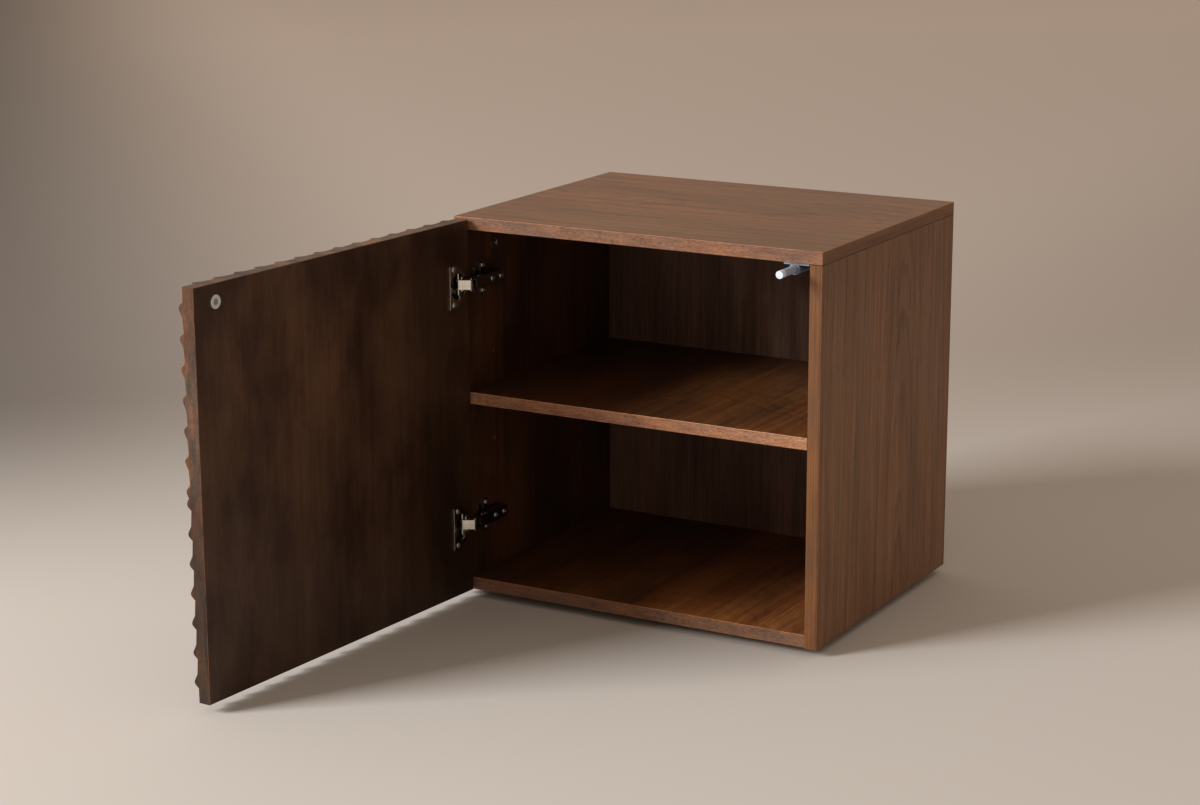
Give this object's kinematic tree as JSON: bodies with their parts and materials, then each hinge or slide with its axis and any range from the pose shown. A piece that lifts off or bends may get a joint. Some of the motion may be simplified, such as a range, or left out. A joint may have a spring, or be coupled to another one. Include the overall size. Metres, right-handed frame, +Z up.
{
  "type": "storage side table with door",
  "caption": "Low storage side table of veneered boards with an adjustable shelf and a ridged door on concealed hinges with a push latch.",
  "frame": {"origin": "on the floor under the centre of the carcass", "axes": "+Z up, the open front faces -Y, the door hangs on the -X side"},
  "size_m": [0.5394, 0.9044, 0.497],
  "materials": {
    "walnut_veneer": "stained walnut veneer, satin lacquer",
    "dowel_wood": "plain beech",
    "nickel_plate": "nickel plated steel",
    "zinc": "bright zinc plating",
    "latch_plastic": "moulded grey nylon",
    "tip_plastic": "off-white nylon",
    "glide_plastic": "black polyethylene"
  },
  "bodies": {
    "carcass": {"top_board": "walnut_veneer", "left_side_panel": "walnut_veneer", "right_side_panel": "walnut_veneer", "bottom_board": "walnut_veneer", "back_panel": "walnut_veneer", "cam_locks": "zinc", "cam_bolts": "zinc", "dowels": "dowel_wood", "shelf_pins": "zinc", "foot_glides": "glide_plastic", "foot_screws": "zinc", "upper_mounting_plate": "nickel_plate", "lower_mounting_plate": "nickel_plate", "mounting_plate_screws": "zinc", "upper_hinge_arm": "nickel_plate", "lower_hinge_arm": "nickel_plate", "hinge_arm_screws": "zinc", "hinge_arm_pins": "nickel_plate", "latch_adapter": "latch_plastic", "latch_housing": "latch_plastic", "latch_screws": "zinc"},
    "upper_outer_link": {"upper_outer_link": "nickel_plate"},
    "upper_inner_link": {"upper_inner_link": "nickel_plate"},
    "lower_outer_link": {"lower_outer_link": "nickel_plate"},
    "lower_inner_link": {"lower_inner_link": "nickel_plate"},
    "door": {"door_panel": "walnut_veneer", "upper_hinge_cup": "nickel_plate", "lower_hinge_cup": "nickel_plate", "hinge_cup_screws": "zinc", "hinge_cup_pins": "nickel_plate", "strike_disc": "nickel_plate", "strike_screw": "zinc"},
    "latch_plunger": {"latch_plunger": "latch_plastic", "latch_tip": "tip_plastic"},
    "shelf": {"shelf_board": "walnut_veneer"}
  },
  "joints": [
    {"name": "door_swing", "type": "hinge", "parent": "upper_outer_link", "child": "door", "pos_m": [-0.23554, -0.21021, 0.414], "axis": [0, 0, 1], "range_deg": [0, 118.62]},
    {"name": "upper_outer_link_turn", "type": "hinge", "parent": "carcass", "child": "upper_outer_link", "pos_m": [-0.22642, -0.18693, 0.414], "axis": [0, 0, 1], "range_deg": [-25.12, 0]},
    {"name": "upper_inner_link_turn", "type": "hinge", "parent": "carcass", "child": "upper_inner_link", "pos_m": [-0.22401, -0.20702, 0.414], "axis": [0, 0, 1], "range_deg": [-30.15, 0]},
    {"name": "lower_outer_link_turn", "type": "hinge", "parent": "carcass", "child": "lower_outer_link", "pos_m": [-0.22642, -0.18693, 0.102], "axis": [0, 0, 1], "range_deg": [-25.12, 0]},
    {"name": "lower_inner_link_turn", "type": "hinge", "parent": "carcass", "child": "lower_inner_link", "pos_m": [-0.22401, -0.20702, 0.102], "axis": [0, 0, 1], "range_deg": [-30.15, 0]},
    {"name": "latch_press", "type": "slide", "parent": "carcass", "child": "latch_plunger", "axis": [0, 1, 0], "range_m": [0, 0.0393]},
    {"name": "shelf_lift", "type": "slide", "parent": "carcass", "child": "shelf", "axis": [0, 0, 1], "range_m": [0, 0.03]}
  ],
  "couplings": [
    {"joint": "upper_outer_link_turn", "follows": "door_swing", "ratio": -0.21011},
    {"joint": "upper_inner_link_turn", "follows": "door_swing", "ratio": -0.25249},
    {"joint": "lower_outer_link_turn", "follows": "door_swing", "ratio": -0.21011},
    {"joint": "lower_inner_link_turn", "follows": "door_swing", "ratio": -0.25249},
    {"joint": "latch_press", "follows": "door_swing", "m_per_rad": 0.018934}
  ]
}
